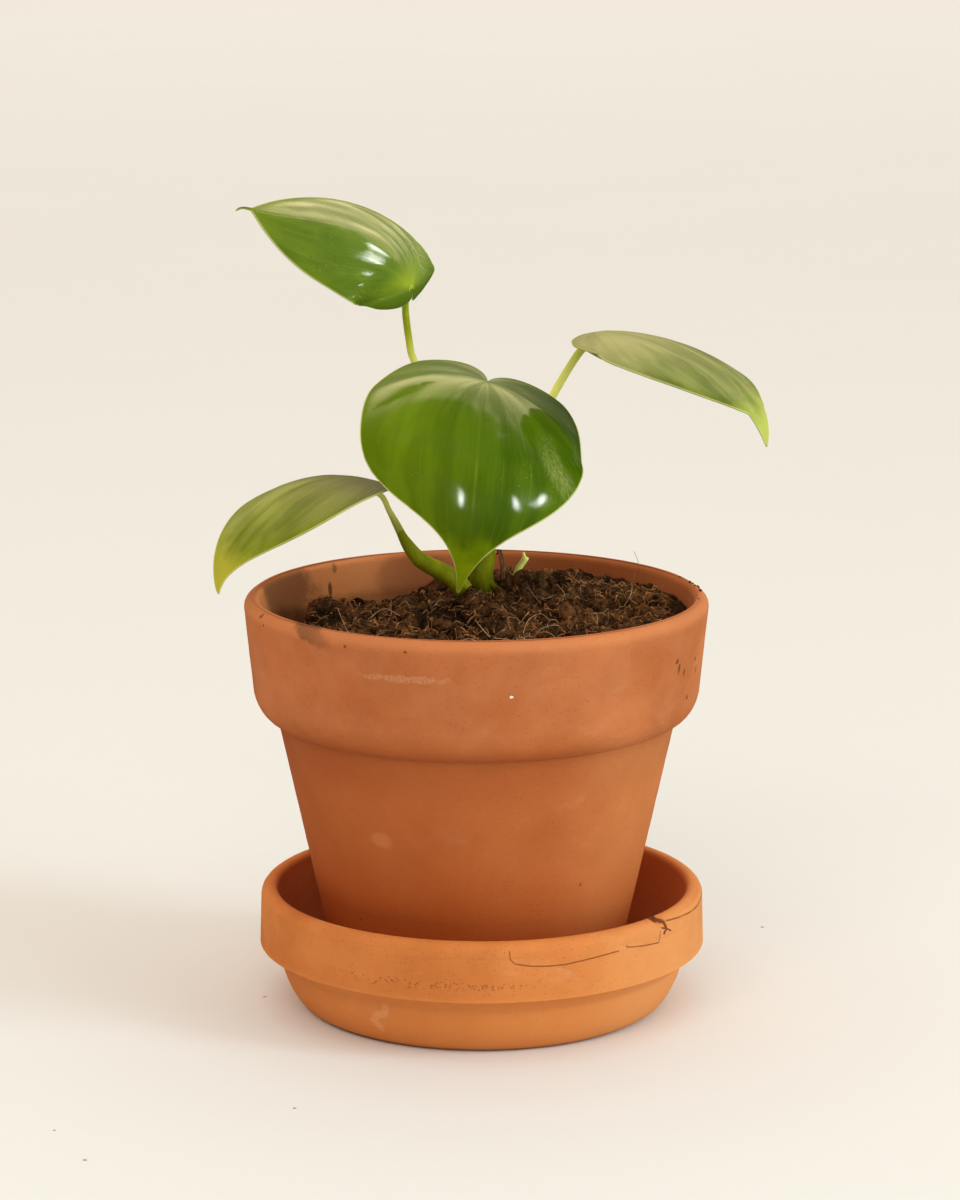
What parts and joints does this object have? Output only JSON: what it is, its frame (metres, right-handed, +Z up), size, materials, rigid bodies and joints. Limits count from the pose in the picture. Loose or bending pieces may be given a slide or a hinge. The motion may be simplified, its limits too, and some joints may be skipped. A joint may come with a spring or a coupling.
{
  "type": "potted philodendron",
  "caption": "Young heart-leaf philodendron with glossy arched leaves on slim stalks, growing in a terracotta pot with a banded rim that stands on a matching saucer.",
  "frame": {"origin": "centre of the saucer's flat underside, on the surface that the part stands on", "axes": "+Z up, -Y the side that faces the viewer, +X to the viewer's right"},
  "size_m": [0.1535, 0.13, 0.2261],
  "materials": {
    "terracotta": "matte",
    "saucer_terracotta": "matte",
    "peat_compost": "matte",
    "stem_green": "satin",
    "petiole_green": "satin",
    "leaf_green": "gloss",
    "dried_brown": "matte"
  },
  "bodies": {
    "root": {"saucer": "saucer_terracotta", "pot": "terracotta", "compost": "peat_compost", "main_stem": "stem_green", "side_shoot": "stem_green", "cut_petiole": "petiole_green", "dried_sheath": "dried_brown", "petiole_front": "petiole_green", "petiole_upper": "petiole_green", "petiole_right": "petiole_green", "petiole_lower": "petiole_green", "leaf_front": "leaf_green", "leaf_upper": "leaf_green", "leaf_right": "leaf_green", "leaf_lower": "leaf_green"}
  },
  "joints": []
}
